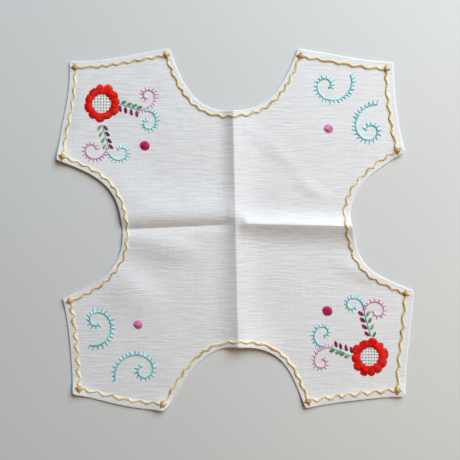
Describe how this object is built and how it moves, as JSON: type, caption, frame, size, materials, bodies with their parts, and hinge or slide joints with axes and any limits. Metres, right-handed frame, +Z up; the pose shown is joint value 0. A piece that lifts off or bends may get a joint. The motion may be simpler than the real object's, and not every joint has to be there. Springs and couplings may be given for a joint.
{
  "type": "embroidered bread cloth",
  "caption": "Flat white linen basket liner, square with a round bay in each side, a stitched hem and embroidered corners.",
  "frame": {"origin": "under the middle of the cloth, on the surface that it lies on", "axes": "+X to the right of the cloth as it is read, +Y towards its back edge, +Z up from the surface"},
  "size_m": [0.3752, 0.3806, 0.01],
  "materials": {
    "linen": "plain woven white linen with slubs, matt"
  },
  "bodies": {
    "root": {"cloth": "linen"}
  },
  "joints": []
}
